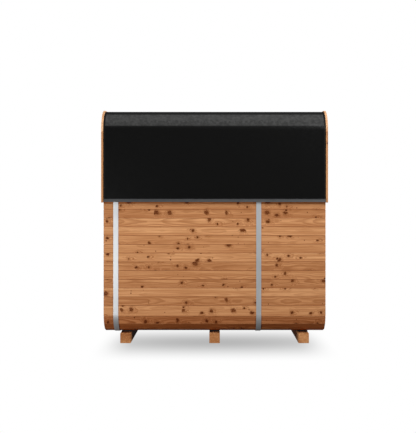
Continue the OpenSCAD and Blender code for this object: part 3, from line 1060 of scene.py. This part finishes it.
class SAUNA_OT_fascia(Operator):
    """Make the fascia boards of both rims"""

    bl_idname = "sauna.fascia"
    bl_label = "Fascia"

    def execute(self, context):
        for number, end in enumerate(ENDS):
            timber(f"{end}_fascia_top", "fascia_wood", "Y", "Z", 20 + number)
            for side, way in SIDES.items():
                node = f"{end}_fascia_{side}"
                timber(node, "fascia_wood", "Z", "Y", 49 - 3 * number + way)
                timber(node + "_corner", "round_fascia_wood", "Z", "Y", 30 + 3 * number + way)
            self.screws(end)
        return {"FINISHED"}

    def screws(self, end):
        """Screw heads along the middle of each fascia board of one rim."""
        size = sizes()
        inset = size.screw_inset
        low, high = box(f"{end}_fascia_top")
        side_low, side_high = box(f"{end}_fascia_far")
        height, across = (low.z + high.z) / 2, (side_low.y + side_high.y) / 2
        side_levels = spread(side_low.z + inset, side_high.z - inset, SIDE_SCREWS)
        centre_y, centre_z = SHELL_WIDTH / 2 - size.corner_radius, SHELL_TOP - size.corner_radius
        bend = height - centre_z
        places = [(y, height) for y in spread(low.y + inset, high.y - inset, TOP_SCREWS)]
        for way in SIDES.values():
            places += [(way * across, z) for z in side_levels]
            for angle in map(math.radians, CORNER_SCREWS):
                places.append((way * (centre_y + bend * math.cos(angle)), centre_z + bend * math.sin(angle)))
        x, turn = (high.x, turned(y=90)) if end == "front" else (low.x, turned(y=-90))
        points = [(x, y, z) for y, z in places]
        heads(f"{end}_fascia_screws", "band_steel", points, turn, size.screw_head, size.screw_rise)


class SAUNA_OT_bearers(Operator):
    """Make the bearers and their packing strips"""

    bl_idname = "sauna.bearers"
    bl_label = "Bearers"

    def execute(self, context):
        for number, place in enumerate(("rear", "middle", "front")):
            timber(f"{place}_bearer", "bearer_wood", "Y", "Z", 53 + number, arris=1.2 * MM)
            node = f"{place}_pad"
            dress(cad_copy(f"{place}_packing", node), "pad_rubber", node, arris=1.5 * MM)
        return {"FINISHED"}


# ---- stage ----


def soft_light(name, place, aim, width, height, power):
    """A rectangular lamp at a place, turned towards a point."""
    lamp = bpy.data.lights.new(name, "AREA")
    lamp.shape, lamp.size, lamp.size_y, lamp.energy = "RECTANGLE", width, height, power
    holder = new_object(name, lamp)
    holder.location = place
    holder.rotation_euler = (Vector(aim) - Vector(place)).to_track_quat("-Z", "Y").to_euler()


def seen_white(tree):
    """1 for what is seen straight or through glass, and less for what is seen in a reflection."""
    path = add(tree, "ShaderNodeLightPath")
    straight = path["Is Camera Ray"].calc("MAXIMUM", path["Is Transmission Ray"])
    return straight.calc("MAXIMUM", path["Is Glossy Ray"] * GLOSSY_WHITE)


def pale_floor():
    """A floor seen as white, with a soft shadow under each long side, that throws little light back."""
    material, tree, shader = new_material("floor")
    tree.nodes.remove(shader)
    place = object_place(tree).parts()
    along, across = place[0].calc("ABSOLUTE"), place[1].calc("ABSOLUTE")
    from_edge = (across - SHELL_WIDTH * 0.45).calc("ABSOLUTE")
    ends = along.remap(STAVE_LENGTH * 0.36, STAVE_LENGTH * 0.54, 1.0, 0.0)
    shadow = from_edge.remap(0.0, 0.92, 1.0, 0.0) * (ends * (1.0 - along * along * 0.27))
    lit = add(tree, "ShaderNodeBsdfDiffuse", {"Color": (0.12, 0.12, 0.12, 1)})[0]
    shown = add(tree, "ShaderNodeEmission", {"Strength": 1.0 - shadow * 0.525})[0]
    mixed = add(tree, "ShaderNodeMixShader", {0: seen_white(tree), 1: lit, 2: shown})[0]
    feed(tree.nodes["Material Output"], {"Surface": mixed})
    return material


class SAUNA_OT_stage(Operator):
    """Set the pale floor, the soft lamps, the sky and the camera"""

    bl_idname = "sauna.stage"
    bl_label = "Stage"

    def execute(self, context):
        scene = context.scene
        mesh, reach = bpy.data.meshes.new("floor"), 40.0
        corners = [(-reach, -reach, 0), (reach, -reach, 0), (reach, reach, 0), (-reach, reach, 0)]
        mesh.from_pydata(corners, [], [(0, 1, 2, 3)])
        mesh.materials.append(pale_floor())
        floor = new_object("floor", mesh)

        world = bpy.data.worlds.new("sky")
        world.use_nodes = True
        scene.world = world
        sky = world.node_tree
        level = seen_white(sky).calc("MAXIMUM", SKY_LEVEL)
        feed(sky.nodes["Background"], {"Color": (1, 1, 1, 1), "Strength": level})

        soft_light("key", (-3.2, -4.8, 0.4), (-0.7, -1.1, 0.6), 2.2, 1.2, 116)
        soft_light("fill", (3.6, -5.6, 4.8), (0.2, -1.1, 1.3), 2.4, 2.4, 320)
        soft_light("top", (0, -3.2, 5.95), (0, -1.7, -1.4), 10.0, 6.3, 255)
        soft_light("back", (6.5, 6.5, 4.5), (0, 1.1, 1.2), 4.0, 3.0, 450)
        for way, power in ((-1, 300), (1, 420)):
            soft_light("end", (way * 7.0, 0.3, 2.4), (way * 1.1, 0, 1.1), 3.0, 3.0, power)

        camera = bpy.data.cameras.new("camera")
        camera.sensor_width, camera.lens, camera.clip_end = 36.0, 62.4, 200.0
        camera.shift_x, camera.shift_y = -0.0152, -0.0473
        holder = new_object("camera", camera)
        holder.location = (0.0, wall_low.y - 7.5, 1.483)
        holder.rotation_euler = (math.radians(90), 0, 0)
        scene.camera = holder
        scene.view_settings.view_transform = "Standard"
        return {"FINISHED"}


class SAUNA_PT_panel(Panel):
    """The sizes, the colours and one button for each group of pieces"""

    bl_idname = "SAUNA_PT_panel"
    bl_label = "Square Barrel Sauna"
    bl_space_type = "VIEW_3D"
    bl_region_type = "UI"
    bl_category = "Sauna"

    def draw(self, context):
        for group in (context.scene.sauna_sizes, context.scene.sauna_colours):
            for name in group.__annotations__:
                self.layout.prop(group, name)
        for step in STEPS:
            self.layout.operator(step.bl_idname)


STEPS = (
    SAUNA_OT_stage, SAUNA_OT_staves, SAUNA_OT_end_walls, SAUNA_OT_door, SAUNA_OT_bands, SAUNA_OT_roof,
    SAUNA_OT_fascia, SAUNA_OT_bearers,
)
CLASSES = (SaunaSizes, SaunaColours, *STEPS, SAUNA_PT_panel)


def register():
    for one in CLASSES:
        bpy.utils.register_class(one)
    bpy.types.Scene.sauna_sizes = PointerProperty(type=SaunaSizes)
    bpy.types.Scene.sauna_colours = PointerProperty(type=SaunaColours)


def unregister():
    del bpy.types.Scene.sauna_colours
    del bpy.types.Scene.sauna_sizes
    for one in reversed(CLASSES):
        bpy.utils.unregister_class(one)


def main():
    register()
    for step in STEPS:
        group, name = step.bl_idname.split(".")
        getattr(getattr(bpy.ops, group), name)()


if __name__ == "__main__":
    main()
